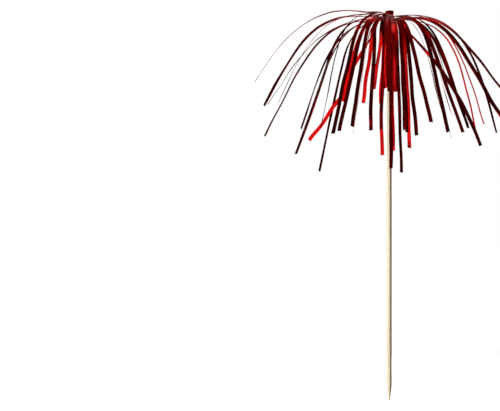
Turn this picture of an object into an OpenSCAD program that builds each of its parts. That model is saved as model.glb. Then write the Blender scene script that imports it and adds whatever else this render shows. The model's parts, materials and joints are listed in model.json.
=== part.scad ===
// Firework cocktail pick: a pointed bamboo skewer whose blunt end carries a burst of red foil.
// Narrow foil strips stand in two rings of stacks round the skewer. A band of tape binds them,
// they fold outwards over the top, and from the folds they fall all round as free strands.
// Millimetres, +Z up, origin at the point of the skewer, -Y towards the viewer.

/* [Skewer] */
// Length from the point to the blunt end
skewer_length = 200; // [120:1:300]
// Diameter of the straight shank
skewer_d = 2.5; // [2:0.1:4]
// Length of the sharpened point
point_length = 8; // [4:0.5:15]
// Diameter of the flat left on the point
point_d = 0.4; // [0.2:0.1:1]
// How much thinner the blunt end is than the shank
taper_drop = 0.2; // [0.1:0.05:0.5]
// Chamfer round the blunt end
end_chamfer = 0.3; // [0.1:0.05:0.5]

/* [Foil] */
// Width of one foil strip
strip_w = 2; // [1:0.1:3]
// Thickness of the foil
foil_t = 0.08; // [0.05:0.01:0.12]
// Air between the strips of one stack
strip_gap = 0.04; // [0.03:0.01:0.1]
// Air between neighbouring stacks
side_gap = 0.06; // [0.03:0.01:0.2]
// Inner radius of the tightest fold
fold_r = 0.5; // [0.3:0.05:0.8]
// Mean length of a free strand
strand_length = 83; // [60:1:120]
// Gap between a fold and the strand that flexes from it
flex_gap = 0.4; // [0.35:0.05:0.6]

/* [Head] */
// Height of the foil sleeve above the blunt end
crown_rise = 1.7; // [0.5:0.1:5]
// Thickness of the foil sleeve, which is several turns of film
sleeve_t = 0.12; // [0.06:0.01:0.2]
// How far the inner ring's folds lie below the blunt end
fold_drop = 1; // [0.2:0.1:5]
// How far the outer ring's folds lie below the inner ring's
ring_step = 2; // [1.8:0.1:5]
// Least thickness of glue on the shank
glue_t = 0.4; // [0.3:0.05:1.5]
// Height of the tape band
tape_h = 13.5; // [8:0.5:25]
// Thickness of the tape
tape_t = 0.15; // [0.1:0.01:0.3]
// Angle that the tape's end laps over its start
tape_lap = 60; // [20:5:120]
// Bare strip between the tape and the outer folds
tape_drop = 1.2; // [0.5:0.1:4]
// Length of the strips' ends below the tape
tail = 1.2; // [0.5:0.1:4]
// Clearance between the glue, the sleeve, the strips and the tape
fit_gap = 0.03; // [0.02:0.01:0.08]

/* [Hidden] */
// Each row is a tuft and each entry a strand, topmost first: its sideways fan, its lift as it leaves
// the fold and its hang once it has bent over, in degrees from level; then its reach before it bends
// over and its trim, in percent of the mean length.
// The first tuft points at the viewer and the rest follow to the right, round the back.
// The first row belongs to the inner ring, the next to the outer ring, and so on in turn.
SPRAY = [
    [[-3, 6, -58, 34, -15], [3, 5, -59, 33, -15], [0, 3, -60, 31, -19], [6, -30, -87, 7, -3]],
    [[2, 10, -66, 14, -17], [5, 9, -81, 12, -17], [-9, 8, -80, 11, -20], [-6, -30, -85, 6, -3]],
    [[8, 4, -74, 45, 12], [-9, 3, -74, 21, -8], [-1, 2, -68, 20, -6], [2, 0, -75, 19, -8]],
    [[2, 11, -52, 29, 0], [-2, 9, -60, 28, 1], [8, 2, -77, 33, 3], [-8, -45, -73, 68, -5]],
    [[-8, 5, -70, 35, 1], [0, 4, -69, 26, -4], [8, 0, -65, 28, -4], [-3, -2, -73, 25, -9]],
    [[-4, 8, -62, 34, -2], [-1, 7, -64, 31, -2], [2, 6, -84, 13, -10], [6, 4, -83, 10, -24]],
    [[7, 14, -52, 32, -8], [4, 12, -60, 30, -8], [-2, 10, -76, 18, -6], [-9, -10, -88, 8, -12]],
    [[-1, 14, -61, 25, -17], [-9, 10, -74, 22, -27], [7, 6, -71, 22, -9], [8, 4, -76, 14, -17]],
    [[9, 13, -58, 55, 4], [5, 8, -64, 44, 0], [0, -10, -70, 38, -2], [8, -14, -77, 24, 12]],
    [[-3, 12, -62, 41, 1], [-2, 10, -71, 23, 9], [7, 0, -63, 38, 11], [-9, -58, -57, 40, -12]],
    [[0, 12, -77, 26, -5], [9, 10, -74, 19, -7], [-9, -5, -58, 48, 0], [-9, -12, -71, 32, -5]],
    [[-8, 12, -71, 21, -7], [-4, 11, -77, 20, -14], [1, 10, -87, 15, -19], [9, -30, -87, 6, -14]],
];
TUFTS = len(SPRAY);
LAYERS = len(SPRAY[0]);
TUFT_STEP = 360 / TUFTS;
FRONT = -90;

// How suddenly a strand bends over at its reach
SNAP = 2;
// Stations along a strand, which crowd towards the fold, where the bend is tightest
STATIONS = 24;
CROWDING = 1.5;
// Steps round a fold
FOLD_STEPS = 6;

// The rings, from the shank outwards
half_w = strip_w / 2;
pitch = foil_t + strip_gap;
stack_t = LAYERS * pitch - strip_gap;
skewer_r = skewer_d / 2;
sleeve_r = max(skewer_r + glue_t + sleeve_t, (half_w + side_gap) / tan(TUFT_STEP));
inner_r = sleeve_r + fit_gap;
inner_face = inner_r + stack_t;
outer_r = inner_face * cos(TUFT_STEP) + half_w * sin(TUFT_STEP) + side_gap;
outer_face = outer_r + stack_t;
tape_r = norm([outer_face, half_w]) + fit_gap;

// The heights, from the top down
fold_rise = fold_r + stack_t;
inner_z = skewer_length - fold_drop - fold_rise;
outer_z = inner_z - ring_step;
tape_top = outer_z - tape_drop;
tape_bottom = tape_top - tape_h;
root_bottom = tape_bottom - tail;
taper_z = root_bottom - tail;
glue_top = skewer_length - end_chamfer - fit_gap;

function is_inner(tuft) = tuft % 2 == 0;
function ring_r(tuft) = is_inner(tuft) ? inner_r : outer_r;
function ring_z(tuft) = is_inner(tuft) ? inner_z : outer_z;
function hinge_r(tuft) = ring_r(tuft) + stack_t + fold_r;
function layer_r(layer) = fold_r + stack_t - layer * pitch;
function length_at(percent) = strand_length * percent / 100;

function two_digits(number) = str(number < 10 ? "0" : "", number);
function strand_name(tuft, layer) = str("tuft_", two_digits(tuft + 1), "_strand_", layer + 1);

// An entry's values by name
function fan(strand) = strand[0];
function lift(strand) = strand[1];
function hang(strand) = strand[2];
function reach(strand) = length_at(strand[3]);
function whole(strand) = length_at(100 + strand[4]);

// The distance along a strand at a station and its direction there
function station(i, strand) = whole(strand) * pow(i / STATIONS, CROWDING);
function heading(s, strand) =
    let (bent = 1 - exp(-pow(s / reach(strand), SNAP)))
    lift(strand) + (hang(strand) - lift(strand)) * bent;
function step_to(i, strand) =
    let (from = station(i - 1, strand), to = station(i, strand), a = heading((from + to) / 2, strand))
    (to - from) * [cos(a), sin(a)];

// Centreline of a strand from its fold, outwards and up
function strand_line(strand) =
    [for (i = 0, p = [0, 0]; i <= STATIONS; i = i + 1, p = p + step_to(i, strand)) p];

// One edge of the strand: the centreline moved sideways by half the foil
function strand_edge(strand, side) =
    let (line = strand_line(strand))
    [for (i = [0:STATIONS])
        let (a = heading(station(i, strand), strand))
        line[i] + side * foil_t / 2 * [-sin(a), cos(a)]];

function reversed(list) = [for (i = [len(list) - 1:-1:0]) list[i]];

$fn = 64;

// Turns a profile drawn outwards and up to face a tuft's way
module facing(tuft) {
    rotate([0, 0, FRONT + tuft * TUFT_STEP]) children();
}

// Gives a profile drawn outwards and up the width of a strip
module strip() {
    rotate([90, 0, 0]) linear_extrude(strip_w, center = true) children();
}

module skewer() {
    color("burlywood") rotate_extrude() polygon([
        [0, 0],
        [point_d / 2, 0],
        [skewer_r, point_length],
        [skewer_r, taper_z],
        [skewer_r - taper_drop / 2, skewer_length - end_chamfer],
        [skewer_r - taper_drop / 2 - end_chamfer, skewer_length],
        [0, skewer_length],
    ]);
}

// Glue fills the room between the shank and the foil sleeve
module glue() {
    bore_r = skewer_r + fit_gap;
    rim_r = sleeve_r - sleeve_t - fit_gap;
    color("ivory") rotate_extrude() polygon([
        [bore_r, root_bottom],
        [rim_r, tape_bottom],
        [rim_r, glue_top],
        [bore_r, glue_top],
    ]);
}

// A six-sided bar with a flat side towards each tuft of the inner ring
module bar(side_r, height) {
    cylinder(r = side_r / cos(TUFT_STEP), h = height, $fn = TUFTS / 2);
}

// Foil wound round the skewer's end, with a flat side under each stack of the inner ring
module crown_sleeve() {
    height = skewer_length + crown_rise - tape_bottom;
    color("brown") translate([0, 0, tape_bottom]) difference() {
        bar(sleeve_r, height);
        translate([0, 0, -height / 2]) bar(sleeve_r - sleeve_t, 2 * height);
    }
}

// One face of a strip's fold, from the top of the stack over to level
function fold_arc(r) = [for (i = [0:FOLD_STEPS]) let (a = 180 - 90 * i / FOLD_STEPS) r * [cos(a), sin(a)]];

// The bound end of one strip: up the stack, then over the fold
module root_profile(tuft, layer) {
    r = layer_r(layer);
    foot = root_bottom - ring_z(tuft);
    translate([hinge_r(tuft), ring_z(tuft)]) polygon(concat(
        [[-r, foot]],
        fold_arc(r),
        reversed(fold_arc(r - foil_t)),
        [[foil_t - r, foot]]
    ));
}

module roots(first) {
    color("darkred")
        for (tuft = [first:2:TUFTS - 1], layer = [0:LAYERS - 1])
            facing(tuft) strip() root_profile(tuft, layer);
}

module inner_roots() {
    roots(0);
}

module outer_roots() {
    roots(1);
}

// Tape wound once round the strips, with its end lapped over its start at the back
module binding_tape() {
    color("firebrick") translate([0, 0, tape_bottom]) {
        rotate_extrude() translate([tape_r, 0]) square([tape_t, tape_h]);
        rotate([0, 0, -FRONT]) rotate_extrude(angle = tape_lap)
            translate([tape_r, 0]) square([2 * tape_t, tape_h]);
    }
}

// One free strand, starting just outside its fold
module strand(tuft, layer) {
    entry = SPRAY[tuft][layer];
    outline = concat(strand_edge(entry, 1), reversed(strand_edge(entry, -1)));
    color("red") facing(tuft)
        translate([hinge_r(tuft), 0, ring_z(tuft) + layer_r(layer) - foil_t / 2])
            rotate([0, 0, fan(entry)])
                strip() translate([flex_gap, 0]) polygon(outline);
}

skewer();
glue();
crown_sleeve();
inner_roots();
outer_roots();
binding_tape();
for (tuft = [0:TUFTS - 1], layer = [0:LAYERS - 1])
    strand(tuft, layer);
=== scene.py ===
"""Looks of the firework cocktail pick: strands, sleeve, tape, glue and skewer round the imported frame."""
import json
import math
import random
from collections import namedtuple

import bpy
import numpy as np
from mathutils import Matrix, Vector


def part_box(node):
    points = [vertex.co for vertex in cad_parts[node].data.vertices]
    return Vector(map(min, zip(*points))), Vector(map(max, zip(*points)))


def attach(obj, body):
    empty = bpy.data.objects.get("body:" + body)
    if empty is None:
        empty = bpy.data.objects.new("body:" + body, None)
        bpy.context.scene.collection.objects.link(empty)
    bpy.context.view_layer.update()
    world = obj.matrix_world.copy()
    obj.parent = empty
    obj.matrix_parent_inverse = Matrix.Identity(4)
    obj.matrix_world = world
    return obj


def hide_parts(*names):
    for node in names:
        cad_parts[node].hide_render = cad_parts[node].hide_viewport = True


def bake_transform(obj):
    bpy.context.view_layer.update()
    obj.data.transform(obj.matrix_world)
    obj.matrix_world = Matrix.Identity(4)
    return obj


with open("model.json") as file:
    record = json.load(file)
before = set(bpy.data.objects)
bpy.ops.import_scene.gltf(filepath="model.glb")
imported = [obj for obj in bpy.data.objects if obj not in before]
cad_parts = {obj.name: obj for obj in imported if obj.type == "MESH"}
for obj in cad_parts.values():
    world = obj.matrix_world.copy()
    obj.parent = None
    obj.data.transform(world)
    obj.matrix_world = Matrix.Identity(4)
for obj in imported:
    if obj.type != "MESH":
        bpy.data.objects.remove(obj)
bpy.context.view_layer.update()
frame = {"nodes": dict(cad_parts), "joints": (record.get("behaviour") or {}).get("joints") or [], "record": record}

MM = 0.001
UP = np.array([0.0, 0.0, 1.0])
RIGHT = np.array([1.0, 0.0, 0.0])
WHITE = (1, 1, 1, 1)

# The photograph's frame: its size, its scale at the pick and where the skewer's point stands in it
IMAGE_W = 500
IMAGE_H = 411
MM_PER_PIXEL = 0.5168
POINT_PIXEL = (389.3, 401)
CAMERA_DISTANCE = 6.0
SENSOR_MM = 36.0

# The body that holds everything but the free strands
PICK = "pick"

# How far the upper face of each strand of a tuft rolls towards the viewer, in degrees, as the photograph
# shows it, and None where that is left to chance
ROLLS = {
    "tuft_01": (None, -17, None, None),
    "tuft_02": (30, 25, None, -12),
    "tuft_03": (15, 55, 35, -25),
    "tuft_04": (42, 80, -68, 60),
    "tuft_05": (-55, -10, -14, 30),
    "tuft_06": (50, 50, -35, None),
    "tuft_07": (20, 20, None, None),
    "tuft_08": (-25, -30, 50, 50),
    "tuft_09": (22, 20, 50, 55),
    "tuft_10": (40, 45, 22, -68),
    "tuft_11": (-15, 35, -24, None),
    "tuft_12": (30, 30, 15, None),
}
# The front bundle rolls at its shoulder too, to its own right, in degrees
SHOULDER_ROLLS = {"tuft_01_strand_1": -14, "tuft_01_strand_2": 10, "tuft_01_strand_3": 0}
# Slivers that the cutter left narrower than the rest, as a share of the width
SLIVERS = {"tuft_04_strand_3": 0.45, "tuft_05_strand_1": 0.35}
# How far a strand of the front bundle leans to the right at its tip, in millimetres
LEANS = {"tuft_01_strand_1": -0.35, "tuft_01_strand_2": -0.05, "tuft_01_strand_3": -0.95}
# How far a strand bows to the right where it starts to fall, in millimetres
BOWS = {
    "tuft_07_strand_1": 0.6,
    "tuft_08_strand_2": 1.0,
    "tuft_12_strand_2": 0.6,
    "tuft_12_strand_3": 1.2,
    "tuft_12_strand_4": 0.9,
}
# Where along its free length a crease bends a strand outwards, as a share, and by how many degrees
CREASES = {
    "tuft_07_strand_4": [(0.25, 4)],
    "tuft_10_strand_4": [(0.42, -14), (0.60, 17)],
    "tuft_12_strand_4": [(0.80, -8)],
}

scene = bpy.context.scene
scene.view_settings.view_transform = "Standard"


# Small helpers

SHARP_ANGLE = math.radians(50)


def link(obj):
    scene.collection.objects.link(obj)
    return obj


def smoothstep(value):
    """A soft step from 0 at 0 to 1 at 1."""
    share = np.clip(value, 0, 1)
    return share * share * (3 - 2 * share)


def swell(value, rise, fall):
    """A soft step up from 0 to 1 between two values, and down again between two others."""
    up = smoothstep((value - rise[0]) / (rise[1] - rise[0]))
    down = smoothstep((value - fall[0]) / (fall[1] - fall[0]))
    return up * (1 - down)


def waves(seed, count, fastest_x, fastest_y=0):
    """A smooth wandering surface of x and y, about 1 high: waves with whole numbers of periods in x."""
    draw = random.Random(seed)
    parts = [
        (draw.randint(1, fastest_x), draw.uniform(-fastest_y, fastest_y), draw.uniform(0, math.tau))
        for _ in range(count)
    ]
    return lambda x, y=0.0: sum(np.sin(i * x + j * y + k) for i, j, k in parts) / math.sqrt(count)


def smooth_curve(points, at):
    """The cubic curve through points, read at distances along it."""
    along = np.concatenate([[0], np.cumsum(np.linalg.norm(np.diff(points, axis=0), axis=1))])
    slope = np.gradient(points, along, axis=0)
    i = np.clip(np.searchsorted(along, at, side="right") - 1, 0, len(along) - 2)
    span = (along[i + 1] - along[i])[:, None]
    t = (at - along[i])[:, None] / span
    return (
        (2 * t**3 - 3 * t**2 + 1) * points[i]
        + (t**3 - 2 * t**2 + t) * span * slope[i]
        + (3 * t**2 - 2 * t**3) * points[i + 1]
        + (t**3 - t**2) * span * slope[i + 1]
    )


def turned(vectors, axis, angle):
    """Vectors turned about a unit axis by an angle in radians, both of which may differ from row to row."""
    angle = np.broadcast_to(np.asarray(angle, float), len(vectors))[:, None]
    axis = np.broadcast_to(axis, vectors.shape)
    along = (vectors * axis).sum(axis=1, keepdims=True) * axis
    return along + (vectors - along) * np.cos(angle) + np.cross(axis, vectors) * np.sin(angle)


def unit(vectors):
    return vectors / np.linalg.norm(vectors, axis=-1, keepdims=True)


def round_angles(count):
    return np.linspace(0, math.tau, count, endpoint=False)


def ways_round(angles):
    """Level unit vectors at angles about the skewer's axis."""
    return np.stack([np.cos(angles), np.sin(angles), 0 * angles], axis=1)


def surface_place(across, along, layer=0.0):
    """Places on a surface for its material: across and along it in millimetres, and its layer."""
    return np.stack(np.broadcast_arrays(across / MM, along / MM, np.array(float(layer))), axis=2)


def mesh_object(name, points, faces, place, material):
    """A smooth mesh with sharp rims, whose surface place is kept for its material."""
    mesh = bpy.data.meshes.new(name)
    mesh.from_pydata([tuple(p) for p in points], [], faces)
    mesh.validate()
    mesh.polygons.foreach_set("use_smooth", [True] * len(mesh.polygons))
    mesh.set_sharp_from_angle(angle=SHARP_ANGLE)
    stored = mesh.attributes.new("place", "FLOAT_VECTOR", "POINT")
    stored.data.foreach_set("vector", np.asarray(place, np.float32).ravel())
    mesh.materials.append(material)
    return link(bpy.data.objects.new(name, mesh))


def closed_sheet(name, upper, lower, place, material, wrap=False):
    """A sheet with a thickness, closed all round its rim, from its two faces as grids of rows and columns.

    With wrap the columns go round and meet, as in a tube."""
    rows, columns = upper.shape[:2]
    count = rows * columns
    end = rows - 1
    last = columns if wrap else columns - 1

    def at(row, column, face):
        return face * count + row * columns + column % columns

    faces = []
    for r in range(end):
        for c in range(last):
            faces.append((at(r, c, 0), at(r, c + 1, 0), at(r + 1, c + 1, 0), at(r + 1, c, 0)))
            faces.append((at(r, c, 1), at(r + 1, c, 1), at(r + 1, c + 1, 1), at(r, c + 1, 1)))
    for c in range(last):
        faces.append((at(0, c, 0), at(0, c, 1), at(0, c + 1, 1), at(0, c + 1, 0)))
        faces.append((at(end, c, 0), at(end, c + 1, 0), at(end, c + 1, 1), at(end, c, 1)))
    if not wrap:
        for r in range(end):
            faces.append((at(r, 0, 0), at(r + 1, 0, 0), at(r + 1, 0, 1), at(r, 0, 1)))
            faces.append((at(r, last, 0), at(r, last, 1), at(r + 1, last, 1), at(r + 1, last, 0)))
    points = np.concatenate([upper.reshape(-1, 3), lower.reshape(-1, 3)])
    return mesh_object(name, points, faces, np.concatenate([place, place]).reshape(-1, 3), material)


# Shader nodes

# The Mix node's sockets for a share, two colours and their mixture
MIX_SHARE = 0
MIX_FIRST = 6
MIX_SECOND = 7
MIX_RESULT = 2


def feed(tree, node, inputs):
    """A node whose inputs are set to values, or linked where a value is a socket."""
    for key, value in inputs.items():
        if isinstance(value, bpy.types.NodeSocket):
            tree.links.new(value, node.inputs[key])
        else:
            node.inputs[key].default_value = value
    return node


def add_node(tree, kind, inputs=None, **settings):
    """One shader node with its settings and inputs."""
    node = tree.nodes.new(kind)
    for key, value in settings.items():
        setattr(node, key, value)
    return feed(tree, node, inputs or {})


def stretched_noise(tree, coordinates, scale, detail=3, rough=0.5):
    """Noise over coordinates that are scaled per axis."""
    mapped = add_node(tree, "ShaderNodeMapping", {"Vector": coordinates, "Scale": scale})
    noise = add_node(
        tree, "ShaderNodeTexNoise",
        {"Vector": mapped.outputs["Vector"], "Scale": 1.0, "Detail": detail, "Roughness": rough},
    )
    return noise.outputs["Fac"]


def grain(tree, spot, across, along, detail):
    """Noise that is stretched along the skewer, from its scales per metre."""
    return stretched_noise(tree, spot, (across, across, along), detail)


def ranged(tree, value, span, to):
    """A value mapped from one range to another and kept inside it."""
    inputs = {"Value": value, "From Min": span[0], "From Max": span[1], "To Min": to[0], "To Max": to[1]}
    return add_node(tree, "ShaderNodeMapRange", inputs).outputs["Result"]


def mixed(tree, share, first, second):
    """Two colours mixed by a share."""
    inputs = {MIX_SHARE: share, MIX_FIRST: first, MIX_SECOND: second}
    return add_node(tree, "ShaderNodeMix", inputs, data_type="RGBA").outputs[MIX_RESULT]


def combined(tree, operation, *values):
    return add_node(tree, "ShaderNodeMath", dict(enumerate(values)), operation=operation).outputs[0]


def facing(tree, vector, way):
    """How far a vector points in a way: their dot product."""
    node = add_node(tree, "ShaderNodeVectorMath", {0: vector, 1: way}, operation="DOT_PRODUCT")
    return node.outputs["Value"]


def bumped(tree, height, distance, strength=1.0):
    inputs = {"Height": height, "Distance": distance, "Strength": strength}
    return add_node(tree, "ShaderNodeBump", inputs).outputs["Normal"]


def object_spot(tree):
    """A point's own place in the frame, in metres."""
    return add_node(tree, "ShaderNodeTexCoord").outputs["Object"]


# Materials

RED = (0.80, 0.004, 0.004, 1)
DEEP_RED = (0.64, 0.002, 0.003, 1)
# Scales of the foil's noise across, along and from strip to strip, and its streaks' share in its relief
STREAK_SCALE = (5.0, 0.06, 1.7)
MOTTLE_SCALE = (0.5, 0.12, 3.1)
STREAK_RELIEF = 0.12

BAMBOO_PALE = (0.95, 0.83, 0.64, 1)
BAMBOO_WARM = (0.90, 0.75, 0.53, 1)
FIBRE_BROWN = (0.72, 0.53, 0.32, 1)
VESSEL_BROWN = (0.33, 0.19, 0.09, 1)
# Brown of the strip on the skewer's right side: partly skin colour, partly painted shade
SKIN_AND_SHADE_BROWN = (0.24, 0.135, 0.065, 1)
FIBRE_RELIEF = 0.04 * MM
# The brown strip on the skewer's right side, partly skin colour and partly painted shade where the key light
# leaves the stick dark: the way it faces, how far it reaches to either side, and how its edge fades and wanders
SKIN_AND_SHADE_ANGLE = math.radians(-12)
SKIN_AND_SHADE_REACH = math.cos(math.radians(62))
SKIN_AND_SHADE_FADE = (SKIN_AND_SHADE_REACH + 0.05, SKIN_AND_SHADE_REACH + 0.14)
SKIN_AND_SHADE_WANDER = 0.16

GLUE_PALE = (0.84, 0.78, 0.62, 1)
GLUE_YELLOW = (0.74, 0.66, 0.48, 1)
BUBBLE_WHITE = (0.95, 0.93, 0.86, 1)
GLUE_CLOUD_SCALE = (500, 500, 500)
BUBBLE_SCALE = (2600, 2600, 2600)
BUBBLE_RELIEF = 0.05 * MM


def new_material(name):
    """A material with its node tree and its Principled node."""
    material = bpy.data.materials.new(name)
    material.use_nodes = True
    return material, material.node_tree, material.node_tree.nodes["Principled BSDF"]


def foil_material(name, relief, crinkle_scale):
    """Metallised film, red through and glossy, with drawn streaks, soft crinkles and a faint mottle."""
    material, tree, shader = new_material(name)
    place = add_node(tree, "ShaderNodeAttribute", attribute_name="place").outputs["Vector"]
    streaks = stretched_noise(tree, place, STREAK_SCALE, detail=4)
    crinkles = stretched_noise(tree, place, crinkle_scale, detail=2, rough=0.4)
    mottle = stretched_noise(tree, place, MOTTLE_SCALE, detail=2)
    height = combined(tree, "MULTIPLY_ADD", streaks, STREAK_RELIEF, crinkles)
    feed(tree, shader, {
        "Base Color": mixed(tree, ranged(tree, mottle, span=(0.35, 0.65), to=(0, 1)), RED, DEEP_RED),
        "Metallic": 1.0,
        "Roughness": ranged(tree, streaks, span=(0.3, 0.7), to=(0.10, 0.24)),
        "Coat Weight": 0.06,
        "Coat Roughness": 0.06,
        "Coat IOR": 1.6,
        "Normal": bumped(tree, height, relief),
    })
    return material


def bamboo_material():
    """Dry bamboo: pale, with fine lengthwise fibres, dark vessel dashes and a brown strip that is partly browner
    skin and partly painted shade.
    """
    material, tree, shader = new_material("bamboo")
    spot = object_spot(tree)
    fibres = grain(tree, spot, across=4200, along=60, detail=4)
    bands = grain(tree, spot, across=700, along=14, detail=2)
    vessels = grain(tree, spot, across=5200, along=130, detail=1)
    wander = grain(tree, spot, across=900, along=30, detail=3)
    pale = mixed(tree, ranged(tree, bands, span=(0.3, 0.7), to=(0, 1)), BAMBOO_PALE, BAMBOO_WARM)
    streaked = mixed(tree, ranged(tree, fibres, span=(0.45, 0.75), to=(0, 0.55)), pale, FIBRE_BROWN)
    dashed = mixed(tree, ranged(tree, vessels, span=(0.66, 0.72), to=(0, 0.7)), streaked, VESSEL_BROWN)
    # The strip faces right and a little to the front, so that its edge shows from the camera; its brown is partly
    # skin colour and partly painted shade on the side away from the key light
    flat = add_node(tree, "ShaderNodeVectorMath", {0: spot, 1: (1, 1, 0)}, operation="MULTIPLY")
    outward = add_node(tree, "ShaderNodeVectorMath", {0: flat.outputs[0]}, operation="NORMALIZE")
    towards_skin_and_shade = facing(tree, outward.outputs[0], (math.cos(SKIN_AND_SHADE_ANGLE), math.sin(SKIN_AND_SHADE_ANGLE), 0))
    edge = combined(tree, "MULTIPLY_ADD", wander, SKIN_AND_SHADE_WANDER, towards_skin_and_shade)
    feed(tree, shader, {
        "Base Color": mixed(tree, ranged(tree, edge, span=SKIN_AND_SHADE_FADE, to=(0, 0.86)), dashed, SKIN_AND_SHADE_BROWN),
        "Roughness": ranged(tree, fibres, span=(0.3, 0.7), to=(0.45, 0.7)),
        "Specular IOR Level": 0.35,
        "Normal": bumped(tree, fibres, FIBRE_RELIEF, strength=0.6),
    })
    return material


def glue_material():
    """Hot-melt glue: milky, waxy and slightly yellow, with small bubbles."""
    material, tree, shader = new_material("glue")
    spot = object_spot(tree)
    cloud = stretched_noise(tree, spot, GLUE_CLOUD_SCALE)
    bubbles = stretched_noise(tree, spot, BUBBLE_SCALE, detail=1)
    milky = mixed(tree, ranged(tree, cloud, span=(0.35, 0.65), to=(0, 1)), GLUE_PALE, GLUE_YELLOW)
    in_bubble = ranged(tree, bubbles, span=(0.68, 0.74), to=(0, 0.5))
    feed(tree, shader, {
        "Base Color": mixed(tree, in_bubble, milky, BUBBLE_WHITE),
        "Roughness": ranged(tree, cloud, span=(0.3, 0.7), to=(0.22, 0.42)),
        "Normal": bumped(tree, bubbles, BUBBLE_RELIEF, strength=0.4),
    })
    return material


FOIL = foil_material("strand_foil", relief=0.12 * MM, crinkle_scale=(0.25, 0.16, 2.3))
SLEEVE_FOIL = foil_material("sleeve_foil", relief=0.16 * MM, crinkle_scale=(0.9, 0.7, 1.0))
TAPE_FOIL = foil_material("tape_foil", relief=0.10 * MM, crinkle_scale=(0.8, 0.25, 1.0))
BAMBOO = bamboo_material()
GLUE = glue_material()


# What the frame says

# A stack's points lie within this share of half a strip's width from its middle
STACK_SLACK = 1.02
# How far the film stands up over its folds at the left and at the back, how far it is drawn down in front,
# and the power that keeps this to the front
LOOSE_LEFT = 1.6 * MM
LOOSE_BACK = 0.3 * MM
TIGHT_FRONT = 1.2 * MM
FRONT_FOCUS = 8


def cad_points(node):
    mesh = frame["nodes"][node].data
    flat = np.zeros(3 * len(mesh.vertices))
    mesh.vertices.foreach_get("co", flat)
    return np.unique(flat.reshape(-1, 3).round(6), axis=0)


def cad_strand(node, radial):
    """A CAD strand's centreline from fold to tip, its sideways direction, half width and thickness."""
    points = cad_points(node)
    plan = points[:, :2] - points[:, :2].mean(axis=0)
    outward = np.linalg.eigh(np.cov(plan.T))[1][:, -1]
    outward = outward * np.sign(outward @ radial[:2])
    side = np.array([-outward[1], outward[0], 0.0])
    across = plan @ side[:2]
    edge = points[across > 0]
    # On this edge every station has an upper and a lower point, one thickness apart
    apart = np.linalg.norm(edge[:, None] - edge[None], axis=2) + np.eye(len(edge))
    pairs = [(i, j) for i, j in enumerate(apart.argmin(axis=1)) if i < j]
    half_width = across.max()
    line = np.array([(edge[i] + edge[j]) / 2 for i, j in pairs]) - half_width * side
    line = line[np.argsort(line[:, :2] @ outward)]
    return line, side, half_width, np.median([apart[i, j] for i, j in pairs])


class Tuft:
    """One tuft: the way it faces, its hinge, where its ring's strips stand and fold, and how loosely."""

    def __init__(self, joint):
        self.body = joint["child"]
        self.hinge = np.array(joint["pos_m"])
        self.hinge_r = math.hypot(*self.hinge[:2])
        self.radial = np.array([*self.hinge[:2] / self.hinge_r, 0.0])
        self.side = np.cross(UP, self.radial)
        self.roots = "inner_roots" if self.hinge[2] > RINGS_MIDDLE else "outer_roots"
        self.strands = frame["record"]["behaviour"]["bodies"][self.body]
        points = cad_points(self.roots)
        half_width = cad_strand(self.strands[0], self.radial)[2]
        mine = (np.abs(points @ self.side) < STACK_SLACK * half_width) & (points @ self.radial > 0)
        self.fold_z = points[:, 2].max() - (self.hinge_r - (points[mine] @ self.radial).min())
        self.foot_z = points[:, 2].min()
        right, back = self.radial[:2]
        loose = LOOSE_LEFT * max(0, -right) + LOOSE_BACK * max(0, back)
        self.hump = loose - TIGHT_FRONT * max(0, -back)**FRONT_FOCUS


JOINTS = sorted(frame["joints"], key=lambda joint: joint["name"])
RINGS_MIDDLE = sum(joint["pos_m"][2] for joint in JOINTS) / len(JOINTS)
TUFT_LIST = [Tuft(joint) for joint in JOINTS]


# Foil strands, each one strip of film from under the tape, over its fold, to its tip

# Stations along a strip: below its fold, over it and beyond it, and columns across it
POST_STATIONS = 6
FOLD_STATIONS = 9
FREE_STATIONS = 64
COLUMNS = np.linspace(-1, 1, 7)
# Points that guide a strip's line over its fold, and how far below the fold the last straight point lies
FOLD_POINTS = 7
POST_GAP = 0.4 * MM
# Seeds of what differs from strand to strand, to which a strand's number is added
SIDE_SEED = 1000
UP_SEED = 2000
TWIST_SEED = 3000
KINK_SEED = 5000
# Kinks: how many, where they lie and how long they are as shares of the free length, and their degrees
KINK_COUNT = 3
KINK_PLACES = (0.04, 0.5)
KINK_LENGTHS = (0.03, 0.06)
KINK_DEGREES = (0.8, 2.2)
# Sways at the tip, the power by which they grow, and the stretch in which a strip turns to its own way
SWAY_SIDE = 0.3 * MM
SWAY_UP = 0.25 * MM
SWAY_GROWTH = 1.5
TURN_LENGTH = 3 * MM
# Where the film stands loose and its shoulder rolls, past the fold, and where it bows, below the fold: the
# stretch in which each sets in, and the stretch in which it ends
LOOSE = ((-2.2 * MM, 0), (2 * MM, 12 * MM))
SHOULDER = ((0, 4 * MM), (8 * MM, 22 * MM))
BOW = ((0, 12 * MM), (14 * MM, 50 * MM))
# Rolls left to chance in degrees, the share that a shoulder's roll loses at the left and right, the rate at
# which a roll sets in along the free length, and a twist at the tip in radians
CHANCE_ROLL = (-14, 14)
CHANCE_SHOULDER = (12, 44)
CALM_SIDES = 0.7
ROLL_RATE = 2.4
TIP_TWIST = 0.12
# Curl across the width in millimetres, the rate at which it sets in along the free length, and the share of
# it that lifts the middle
CURL = (-0.10, 0.16)
CURL_RATE = 6
CURL_MIDDLE = 0.4
# The tip's slanted cut, as a share of half the width, and where on the free length it starts
CUT_SLANT = 0.35
CUT_START = 0.97


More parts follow.
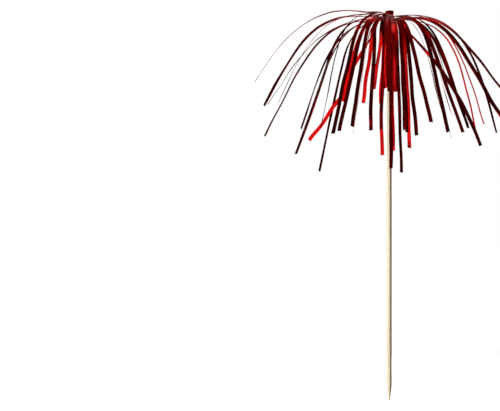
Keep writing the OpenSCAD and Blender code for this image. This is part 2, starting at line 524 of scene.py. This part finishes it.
def strip_path(tuft, line):
    """Points of a strip's centreline, and the distances along it of the fold's start and end."""
    rise = line[0][2] - tuft.fold_z
    post = tuft.radial * (tuft.hinge_r - rise)
    post_heights = [tuft.foot_z, tuft.fold_z - POST_GAP]
    fold = [
        tuft.radial * (tuft.hinge_r - rise * math.cos(a)) + UP * (tuft.fold_z + rise * math.sin(a))
        for a in np.linspace(0, math.pi / 2, FOLD_POINTS)
    ]
    points = np.array([*(post + UP * z for z in post_heights), *fold, *line])
    fold_start = tuft.fold_z - tuft.foot_z
    return points, fold_start, fold_start + rise * math.pi / 2


def slight_kinks(number):
    """A few slight kinks, each soon bent back, as handling leaves them."""
    draw = random.Random(KINK_SEED + number)
    kinks = []
    for _ in range(KINK_COUNT):
        where = draw.uniform(*KINK_PLACES)
        degrees = draw.choice((-1, 1)) * draw.uniform(*KINK_DEGREES)
        kinks += [(where, degrees), (where + draw.uniform(*KINK_LENGTHS), -degrees)]
    return kinks


class Strip:
    """One strip of film: its stations, its size, its sideways direction and its centreline."""

    def __init__(self, tuft, node, number):
        self.tuft = tuft
        self.node = node
        self.number = number
        self.draw = random.Random(number)
        line, self.side, half_width, self.thickness = cad_strand(node, tuft.radial)
        self.half_width = half_width * SLIVERS.get(node, 1)
        points, fold_start, fold_end = strip_path(tuft, line)
        length = np.linalg.norm(np.diff(points, axis=0), axis=1).sum()
        self.along = np.concatenate([
            np.linspace(0, fold_start, POST_STATIONS)[:-1],
            np.linspace(fold_start, fold_end, FOLD_STATIONS)[:-1],
            np.linspace(fold_end, length, FREE_STATIONS),
        ])
        self.reach = self.along - fold_end
        self.free = np.clip(self.reach / (length - fold_end), 0, 1)
        self.swing = self.free * math.tau
        self.centre = smooth_curve(points, self.along)
        turn = smoothstep(self.reach / TURN_LENGTH)[:, None]
        self.sideways = unit((1 - turn) * tuft.side + turn * self.side)

    def directions(self):
        """Along the line, across the strip and out of its upper face, at each station."""
        tangent = unit(np.gradient(self.centre, self.along, axis=0))
        sideways = self.sideways
        across = unit(sideways - (sideways * tangent).sum(axis=1, keepdims=True) * tangent)
        return tangent, across, np.cross(tangent, across)

    def shift(self, lengths, ways):
        """Moves each station by its length."""
        self.centre = self.centre + lengths[:, None] * ways

    def crease(self):
        """Bends the rest of the strip at each of its creases and kinks."""
        for where, degrees in CREASES.get(self.node, []) + slight_kinks(self.number):
            at = np.searchsorted(self.free, where)
            rest = self.centre[at:] - self.centre[at]
            self.centre[at:] = self.centre[at] + turned(rest, -self.side, math.radians(degrees))

    def sway(self):
        """Adds small sways and leans, which grow towards the tip."""
        _, self.sideways, normal = self.directions()
        growth = self.free**SWAY_GROWTH
        lean = LEANS.get(self.node, 0) * MM
        side_waves = waves(SIDE_SEED + self.number, count=3, fastest_x=3)(self.swing)
        up_waves = waves(UP_SEED + self.number, count=3, fastest_x=4)(self.swing)
        self.shift(growth * (SWAY_SIDE * side_waves + lean), self.sideways)
        self.shift(growth * SWAY_UP * up_waves, normal)

    def loosen(self):
        """Lifts the film over its fold, and bows it where it starts to fall."""
        self.shift(swell(self.reach, *LOOSE) * self.tuft.hump, UP)
        drop = self.tuft.fold_z - self.centre[:, 2]
        self.shift(swell(drop, *BOW) * (self.reach > 0) * BOWS.get(self.node, 0) * MM, RIGHT)

    def twist(self):
        """How far the strip rolls about its own line, in radians, at each station."""
        towards_viewer = 1 if self.side[1] > 0 else -1
        chance_roll = self.draw.uniform(*CHANCE_ROLL)
        chance_shoulder = self.draw.uniform(*CHANCE_SHOULDER) * (1 - CALM_SIDES * self.tuft.radial[0]**2)
        roll = ROLLS[self.tuft.body][self.tuft.strands.index(self.node)]
        if roll is None:
            roll = chance_roll
        shoulder_roll = SHOULDER_ROLLS.get(self.node, chance_shoulder * towards_viewer)
        twist_waves = waves(TWIST_SEED + self.number, count=2, fastest_x=3)(self.swing)
        return (
            math.radians(roll) * towards_viewer * smoothstep(self.free * ROLL_RATE)
            + TIP_TWIST * self.free * twist_waves
            + math.radians(shoulder_roll) * swell(self.reach, *SHOULDER)
        )

    def sheet(self):
        """The strip's mesh, rolled about its line, curled a little across its width and cut at its tip."""
        tangent, across, _ = self.directions()
        across = turned(across, tangent, self.twist())
        normal = np.cross(tangent, across)
        curl = smoothstep(self.free * CURL_RATE) * self.draw.uniform(*CURL) * MM
        slant = self.draw.uniform(-CUT_SLANT, CUT_SLANT) * self.half_width
        cut = slant * smoothstep((self.free - CUT_START) / (1 - CUT_START))
        middle = (
            self.centre[:, None]
            + across[:, None] * (COLUMNS * self.half_width)[None, :, None]
            + normal[:, None] * (curl[:, None] * (CURL_MIDDLE - COLUMNS**2))[:, :, None]
            + tangent[:, None] * (cut[:, None] * COLUMNS)[:, :, None]
        )
        film = normal[:, None] * self.thickness / 2
        place = surface_place(COLUMNS[None] * self.half_width, self.along[:, None], self.number)
        return closed_sheet(f"foil_{self.node}", middle + film, middle - film, place, FOIL)


def make_strand(tuft, node, number):
    strip = Strip(tuft, node, number)
    strip.crease()
    strip.sway()
    strip.loosen()
    strand = strip.sheet()
    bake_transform(strand)
    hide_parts(node, tuft.roots)


number = 0
for tuft in TUFT_LIST:
    for node in tuft.strands:
        number += 1
        make_strand(tuft, node, number)


# Crown sleeve: film wound round the skewer's end, six-sided over the stacks and crumpled at its open top

def six_sided(angle, apothem):
    """Radius of a six-sided outline with a flat side towards the viewer."""
    step = math.pi / 3
    turn = (angle + math.pi / 2 + step / 2) % step - step / 2
    return apothem / np.cos(turn)


def make_sleeve():
    low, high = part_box("crown_sleeve")
    apothem = high.y
    wall = 0.12 * MM
    inset = 0.02 * MM
    lip_height = 0.25 * MM
    loose_height = 3 * MM
    crumple = 0.2 * MM
    flare = 0.42 * MM
    drawn_in = 0.38 * MM
    angles = round_angles(72)
    # Rows lie closer together towards the top
    rows = 40
    crowding = 0.6
    share = np.linspace(0, 1, rows) ** crowding
    lip = waves(seed=32, count=4, fastest_x=5)(angles)
    top = high.z - low.z + lip_height * lip
    heights = low.z + share[:, None] * top[None]
    loose = smoothstep((heights - (high.z - loose_height)) / loose_height)
    wander = waves(seed=31, count=6, fastest_x=9, fastest_y=4)(angles[None], share[:, None])
    tight = six_sided(angles, apothem)[None] - inset
    radius = tight + loose * (crumple * wander + flare - drawn_in * loose)
    way = ways_round(angles)
    outer = way[None] * radius[:, :, None] + UP * heights[:, :, None]
    inner = way[None] * (radius - wall)[:, :, None] + UP * heights[:, :, None]
    place = surface_place(angles[None] * apothem, heights)
    sleeve = closed_sheet("crown_foil", outer, inner, place, SLEEVE_FOIL, wrap=True)
    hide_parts("crown_sleeve")
    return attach(sleeve, PICK)


make_sleeve()


# Binding tape: foil tape drawn tight over the corners of the outer stacks, its end lapped at the back

def make_tape():
    low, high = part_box("binding_tape")
    # The lap makes the box one thickness deeper at the back than in front
    corner_r = -low.y
    tape_t = high.y - corner_r
    film = 0.9 * tape_t
    # The lap and the turn in which the tape climbs onto it, in radians
    lap = math.radians(60)
    lap_ramp = 0.12
    # How far the band is round, as a share, and not flat over the stacks and between them
    roundness = 0.35
    ruck_depth = 0.035 * MM
    rim_height = 0.25 * MM
    outer_tufts = [tuft for tuft in TUFT_LIST if tuft.roots == "outer_roots"]
    half_width = cad_strand(outer_tufts[0].strands[0], outer_tufts[0].radial)[2]
    corner = math.asin(half_width / (corner_r - tape_t))
    step = math.tau / len(outer_tufts)
    first = math.atan2(outer_tufts[0].radial[1], outer_tufts[0].radial[0])
    stations = 240
    turns = np.linspace(0, math.tau + lap, stations)
    angles = math.pi / 2 + turns
    off = (angles - first + step / 2) % step - step / 2
    between = step / 2 - np.abs(off)
    over_stack = math.cos(corner) / np.cos(off)
    over_gap = math.cos(step / 2 - corner) / np.cos(between)
    flat = np.where(np.abs(off) < corner, over_stack, over_gap)
    lift = tape_t * smoothstep((turns - math.tau + lap_ramp) / lap_ramp)
    base = (corner_r - tape_t) * (roundness + (1 - roundness) * flat) + lift
    rows = 22
    share = np.linspace(0, 1, rows)
    rucks = waves(seed=41, count=7, fastest_x=9, fastest_y=24)(angles[:, None], share[None])
    rim = waves(seed=42, count=4, fastest_x=6)(angles)[:, None] * (share[None] - 0.5) * rim_height
    radius = base[:, None] + ruck_depth * rucks
    level = (low.z + share * (high.z - low.z))[None] + rim
    way = ways_round(angles)
    inner = way[:, None] * radius[:, :, None] + UP * level[:, :, None]
    outer = way[:, None] * (radius + film)[:, :, None] + UP * level[:, :, None]
    place = surface_place(angles[:, None] * corner_r, level)
    tape = closed_sheet("tape_band", inner, outer, place, TAPE_FOIL)
    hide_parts("binding_tape")
    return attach(tape, PICK)


make_tape()


# Glue: lumpy below the tape, where it was squeezed out round the skewer

def make_glue():
    points = cad_points("glue")
    radii = np.hypot(points[:, 0], points[:, 1])
    bore, rim = radii.min(), radii.max()
    low, high = points[:, 2].min(), points[:, 2].max()
    near_rim = 0.99 * rim
    shoulder = points[radii > near_rim][:, 2].min()
    foot = 0.12 * MM
    inset = 0.05 * MM
    lump_height = 0.04 * MM
    angles = round_angles(64)
    foot_rows = 8
    body_rows = 14
    heights = np.concatenate([
        np.linspace(low, shoulder, foot_rows)[:-1], np.linspace(shoulder, high, body_rows)
    ])
    lumps = waves(seed=51, count=6, fastest_x=5, fastest_y=3)(angles[None], heights[:, None] / MM)
    growth = np.sqrt(smoothstep((heights - low) / (shoulder - low)))[:, None]
    radius = bore + foot + (rim - bore - foot - inset) * growth + lump_height * lumps
    way = ways_round(angles)
    outer = way[None] * radius[:, :, None] + UP * heights[:, None, None]
    inner = way[None] * bore + UP * heights[:, None, None]
    place = surface_place(angles[None] * rim, heights[:, None])
    glue = closed_sheet("glue_bead", outer, inner, place, GLUE, wrap=True)
    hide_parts("glue")
    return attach(glue, PICK)


make_glue()


# Skewer: a turned bamboo stick with faint flats, raised fibres, a whittled point and a sawn, chamfered end

def make_skewer():
    points = cad_points("skewer")
    radii = np.hypot(points[:, 0], points[:, 1])
    corners = sorted({(z, radii[np.isclose(points[:, 2], z)].max()) for z in points[:, 2].round(6)})
    profile_z, profile_r = np.array(corners).T
    row_step = 0.9 * MM
    # The whittled point: its length, its faces and the angle of the first, in radians
    whittled_length = 8 * MM
    whittled_faces = 5
    first_face = 0.6
    # Heights of the relief and the inset below the CAD surface, as shares of the radius
    fibre_relief = 0.006
    flat_relief = 0.006
    whittled_relief = 0.05
    inset = 0.012
    angles = round_angles(64)
    heights = np.unique(np.concatenate([
        np.linspace(a, b, max(2, int((b - a) / row_step))) for a, b in zip(profile_z, profile_z[1:])
    ]))
    surface = (angles[None], heights[:, None] / MM)
    fibres = waves(seed=61, count=14, fastest_x=30, fastest_y=0.12)(*surface)
    flats = waves(seed=62, count=3, fastest_x=5, fastest_y=0.02)(*surface)
    near_point = smoothstep(1 - heights / whittled_length)[:, None]
    whittled = near_point * np.cos(whittled_faces * angles + first_face)[None]
    relief = fibre_relief * fibres + flat_relief * flats + whittled_relief * whittled
    radius = np.interp(heights, profile_z, profile_r)[:, None] * (1 + relief - inset)
    rings = (ways_round(angles)[None] * radius[:, :, None] + UP * heights[:, None, None]).reshape(-1, 3)
    count, rows = len(angles), len(heights)
    faces = [
        (r * count + c, r * count + (c + 1) % count, (r + 1) * count + (c + 1) % count, (r + 1) * count + c)
        for r in range(rows - 1) for c in range(count)
    ]
    faces.append(tuple(reversed(range(count))))
    faces.append(tuple((rows - 1) * count + c for c in range(count)))
    skewer = mesh_object("bamboo_skewer", rings, faces, rings / MM, BAMBOO)
    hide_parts("skewer")
    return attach(skewer, PICK)


make_skewer()


# Camera, floor and light

CLIP_END = 100
FLOOR_HALF = 20.0
FLOOR_GREYS = ((0.70, 0.70, 0.70, 1), (0.73, 0.73, 0.73, 1))
FLOOR_CLOUD_SCALE = (6, 6, 6)
# How brightly the camera sees the floor glow, near the pick and far from it, and those distances in metres
GLOW_LEVELS = (0.55, 0.85)
GLOW_DISTANCES = (0.2, 3.0)
# In mirrors the floor is white on this side of the pick, and sets in between these distances in metres
WHITE_FLOOR_WAY = (0.6, -1, 0)
WHITE_FLOOR_EDGE = (-0.04, 0.02)

# The level of the light on what isn't mirrored
AMBIENT_LEVEL = 0.30
# In mirrors the room is dim: its level near the floor, on its walls and what its ceiling adds, and how high
# the ways point in which the walls and the ceiling set in
ROOM_LEVEL = 0.015
WALL_LEVEL = 0.055
CEILING_LEVEL = 0.09
WALL_HEIGHTS = (0.15, 0.6)
CEILING_HEIGHTS = (0.6, 1.0)
# Paler patches in that room: the way to each, the angles from it in degrees at which it sets in and at
# which it is full, and its level
Patch = namedtuple("Patch", "way outer inner level")
PATCHES = {
    "backdrop": Patch((0, 1, 0), 16, 10, 1.0),
    "above_backdrop": Patch((0, 0.62, 0.78), 32, 14, 0.27),
    "card": Patch((0.35, 0.33, 0.88), 14, 8, 1.0),
    "left_lamp": Patch((-0.44, -0.28, 0.85), 10, 5, 1.0),
    "right_lamp": Patch((0.62, -0.27, 0.74), 10, 5, 1.0),
}
SOFTBOX_SIZE = 0.9
SOFTBOX_AIM = Vector((0, 0, 0.1))


def make_camera():
    data = bpy.data.cameras.new("camera")
    data.sensor_width = SENSOR_MM
    data.lens = SENSOR_MM * CAMERA_DISTANCE / (IMAGE_W * MM_PER_PIXEL * MM)
    data.clip_end = CLIP_END
    camera = link(bpy.data.objects.new("camera", data))
    centre_x = (IMAGE_W / 2 - POINT_PIXEL[0]) * MM_PER_PIXEL * MM
    centre_z = (POINT_PIXEL[1] - IMAGE_H / 2) * MM_PER_PIXEL * MM
    camera.location = (centre_x, -CAMERA_DISTANCE, centre_z)
    camera.rotation_euler = (math.pi / 2, 0, 0)
    scene.camera = camera


def ray_kinds(tree):
    """1 for rays straight from the camera, and 1 for rays that are mirrored or pass something clear."""
    path = add_node(tree, "ShaderNodeLightPath").outputs
    mirrored = combined(tree, "MAXIMUM", path["Is Glossy Ray"], path["Is Transmission Ray"])
    return path["Is Camera Ray"], mirrored


def either(tree, share, first, second):
    """The first shader where a share is 0, and the second where it is 1."""
    return add_node(tree, "ShaderNodeMixShader", {0: share, 1: first.outputs[0], 2: second.outputs[0]})


def make_floor():
    """A pale floor that shows white and keeps the pick's shadow, and in mirrors is white on one side."""
    material, tree, _ = new_material("floor")
    tree.nodes.clear()
    spot = object_spot(tree)
    pale = mixed(tree, stretched_noise(tree, spot, FLOOR_CLOUD_SCALE), *FLOOR_GREYS)
    diffuse = add_node(tree, "ShaderNodeBsdfDiffuse", {"Color": pale})
    away = add_node(tree, "ShaderNodeVectorMath", {0: spot}, operation="LENGTH").outputs["Value"]
    level = ranged(tree, away, GLOW_DISTANCES, GLOW_LEVELS)
    glow = add_node(tree, "ShaderNodeEmission", {"Strength": level})
    seen = add_node(tree, "ShaderNodeAddShader", {0: diffuse.outputs[0], 1: glow.outputs[0]})
    whiteness = ranged(tree, facing(tree, spot, WHITE_FLOOR_WAY), WHITE_FLOOR_EDGE, (ROOM_LEVEL, 1.0))
    reflection = add_node(tree, "ShaderNodeEmission", {"Strength": whiteness})
    from_camera, mirrored = ray_kinds(tree)
    shown = either(tree, mirrored, either(tree, from_camera, diffuse, seen), reflection)
    add_node(tree, "ShaderNodeOutputMaterial", {"Surface": shown.outputs[0]})
    mesh = bpy.data.meshes.new("floor")
    corners = [(x * FLOOR_HALF, y * FLOOR_HALF, 0) for x, y in ((-1, -1), (1, -1), (1, 1), (-1, 1))]
    mesh.from_pydata(corners, [], [(0, 1, 2, 3)])
    mesh.materials.append(material)
    link(bpy.data.objects.new("floor", mesh))


def make_world():
    """White all round the view. Mirrors show a dim room instead, with the paler patches."""
    world = bpy.data.worlds.new("studio")
    world.use_nodes = True
    scene.world = world
    tree = world.node_tree
    tree.nodes.clear()
    way = add_node(tree, "ShaderNodeTexCoord").outputs["Generated"]
    height = facing(tree, way, UP)
    walls = ranged(tree, height, WALL_HEIGHTS, (ROOM_LEVEL, WALL_LEVEL))
    room = combined(tree, "ADD", walls, ranged(tree, height, CEILING_HEIGHTS, (0, CEILING_LEVEL)))
    for patch in PATCHES.values():
        span = (math.cos(math.radians(patch.outer)), math.cos(math.radians(patch.inner)))
        near = ranged(tree, facing(tree, way, Vector(patch.way).normalized()), span, (0, patch.level))
        room = combined(tree, "MAXIMUM", room, near)

    def background(strength):
        return add_node(tree, "ShaderNodeBackground", {"Color": WHITE, "Strength": strength})

    from_camera, mirrored = ray_kinds(tree)
    lit = either(tree, mirrored, background(AMBIENT_LEVEL), background(room))
    shown = either(tree, from_camera, lit, background(1.0))
    add_node(tree, "ShaderNodeOutputWorld", {"Surface": shown.outputs[0]})


def make_softbox(name, spot, power):
    data = bpy.data.lights.new(name, "AREA")
    data.shape = "SQUARE"
    data.size = SOFTBOX_SIZE
    data.energy = power
    lamp = link(bpy.data.objects.new(name, data))
    lamp.location = spot
    lamp.rotation_mode = "QUATERNION"
    lamp.rotation_quaternion = (SOFTBOX_AIM - Vector(spot)).to_track_quat("-Z", "Y")
    lamp.visible_glossy = False


make_camera()
make_floor()
make_world()
make_softbox("key", spot=(-1.3, -1.0, 0.75), power=27)
make_softbox("fill", spot=(-0.3, 1.5, 0.8), power=12)
